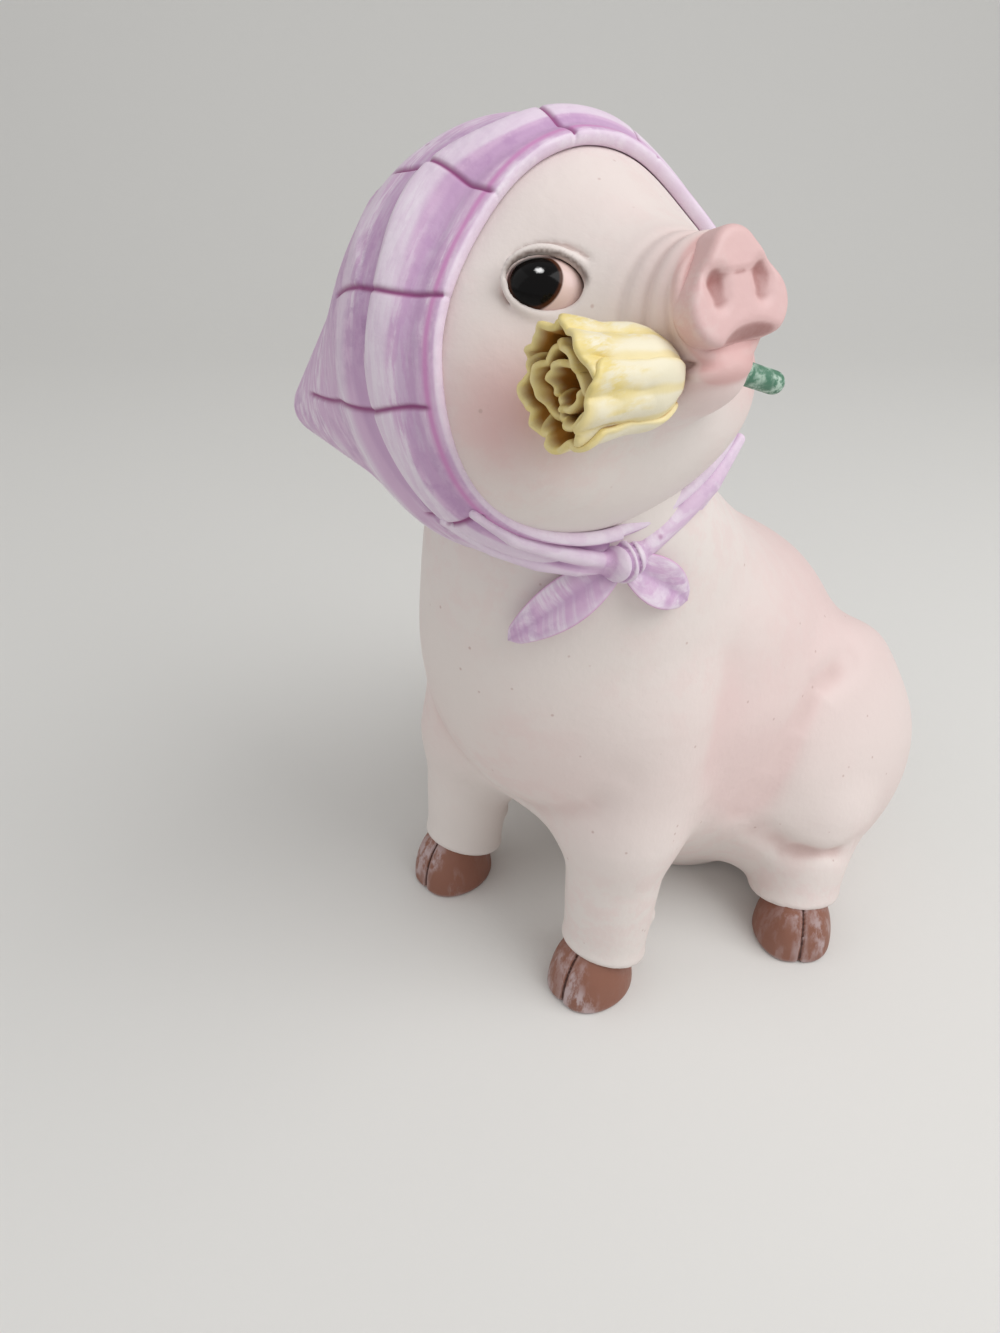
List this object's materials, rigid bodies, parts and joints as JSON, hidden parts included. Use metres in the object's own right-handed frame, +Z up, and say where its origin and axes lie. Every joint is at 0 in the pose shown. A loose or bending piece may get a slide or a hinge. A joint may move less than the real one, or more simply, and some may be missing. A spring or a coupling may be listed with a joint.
{
  "type": "pig figurine",
  "caption": "Seated pig figurine in painted cast resin, head turned to its left under a tied kerchief, holding a rose in its mouth.",
  "frame": {"origin": "middle of the seat, on the floor", "axes": "+Z up, -Y the way the chest faces, +X to the pig's left"},
  "size_m": [0.1316, 0.1702, 0.2011],
  "materials": {
    "skin_paint": "matte cream and pink paint on cast resin",
    "snout_paint": "matte pink paint on cast resin",
    "kerchief_paint": "matte lavender paint, dry-brushed white on the folds",
    "hoof_paint": "matte brown paint with pale dry brushing",
    "eye_gloss": "glossy black",
    "rose_paint": "matte cream and yellow paint",
    "stem_paint": "matte green paint",
    "plug_rubber": "pale grey rubber"
  },
  "bodies": {
    "root": {"torso": "skin_paint", "head": "skin_paint", "front_leg_left": "skin_paint", "front_leg_right": "skin_paint", "hind_leg_left": "skin_paint", "hind_leg_right": "skin_paint", "tail": "skin_paint", "snout": "snout_paint", "kerchief": "kerchief_paint", "kerchief_knot": "kerchief_paint", "kerchief_end_left": "kerchief_paint", "kerchief_end_right": "kerchief_paint", "front_left_hoof": "hoof_paint", "front_right_hoof": "hoof_paint", "hind_left_hoof": "hoof_paint", "hind_right_hoof": "hoof_paint", "eye_left": "eye_gloss", "eye_right": "eye_gloss", "rose_bloom": "rose_paint", "rose_stem": "stem_paint", "base_plug": "plug_rubber"}
  },
  "joints": []
}
